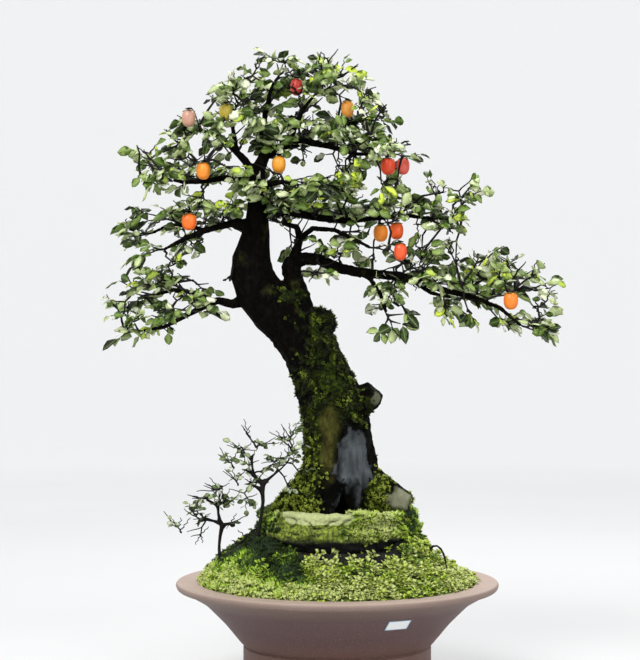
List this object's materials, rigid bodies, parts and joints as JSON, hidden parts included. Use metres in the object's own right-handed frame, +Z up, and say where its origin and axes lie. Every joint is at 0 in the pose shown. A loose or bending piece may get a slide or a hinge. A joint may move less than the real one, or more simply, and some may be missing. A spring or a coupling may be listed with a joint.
{
  "type": "persimmon bonsai",
  "caption": "Fruiting small-leaved persimmon bonsai: a thick leaning mossy trunk on a rock, branches in leafy pads with orange fruit, in a round flared clay pot with moss.",
  "frame": {"origin": "centre of the pot's flat base, on the pot's own axis", "axes": "+Z up along the pot's axis, -Y the side that the tree faces, +X to the right seen from that side"},
  "size_m": [0.6347, 0.449, 0.8965],
  "materials": {
    "clay": "unglazed purple-brown stoneware clay, fine matt grain with a faint sheen on the rim",
    "soil": "dark damp granular potting soil",
    "screen": "matt black moulded plastic mesh",
    "carpet": "live green moss and small-leaved ground cover",
    "rock": "rough layered stone with a thin skin of moss and algae",
    "bark": "old near-black plated bark, mossy on the lower trunk",
    "leaf": "semi-gloss small dark green leaves on thin black twigs",
    "sapling": "thin bare stems with small green and reddish leaves",
    "fruit": "smooth waxy orange fruit skin",
    "label": "plain white paper, blank"
  },
  "bodies": {
    "root": {"pot": "clay", "drain_screen": "screen", "pot_label": "label", "soil": "soil", "moss_carpet": "carpet", "rock": "rock", "arching_root": "bark", "fruit_01": "fruit", "fruit_02": "fruit", "fruit_03": "fruit", "fruit_04": "fruit", "fruit_05": "fruit", "fruit_06": "fruit", "fruit_07": "fruit", "fruit_08": "fruit", "fruit_09": "fruit", "fruit_10": "fruit", "fruit_11": "fruit", "fruit_12": "fruit", "fruit_13": "fruit", "trunk": "bark", "spray_hook_1": "leaf", "spray_middle_1": "leaf", "spray_middle_2": "leaf", "spray_long_right_1": "leaf", "spray_long_right_2": "leaf", "spray_long_right_3": "leaf", "spray_long_right_4": "leaf", "spray_hanging_1": "leaf", "spray_low_right_1": "leaf", "spray_right_1": "leaf", "spray_right_2": "leaf", "spray_right_3": "leaf", "spray_leader_1": "leaf", "spray_leader_2": "leaf", "spray_leader_3": "leaf", "spray_apex_1": "leaf", "spray_apex_2": "leaf", "spray_apex_right_1": "leaf", "spray_apex_right_2": "leaf", "spray_upper_right_1": "leaf", "spray_upper_right_2": "leaf", "spray_upper_left_1": "leaf", "spray_upper_left_2": "leaf", "spray_upper_left_top_1": "leaf", "spray_left_high_1": "leaf", "spray_left_high_2": "leaf", "spray_left_middle_1": "leaf", "spray_left_middle_top_1": "leaf", "spray_left_middle_top_2": "leaf", "spray_left_low_1": "leaf", "spray_left_low_2": "leaf", "spray_left_low_top_1": "leaf", "spray_left_low_top_2": "leaf", "spray_back_right_1": "leaf", "spray_back_left_1": "leaf", "spray_back_top_1": "leaf", "spray_front_1": "leaf", "sapling_left": "sapling", "sapling_tall": "sapling"}
  },
  "joints": []
}
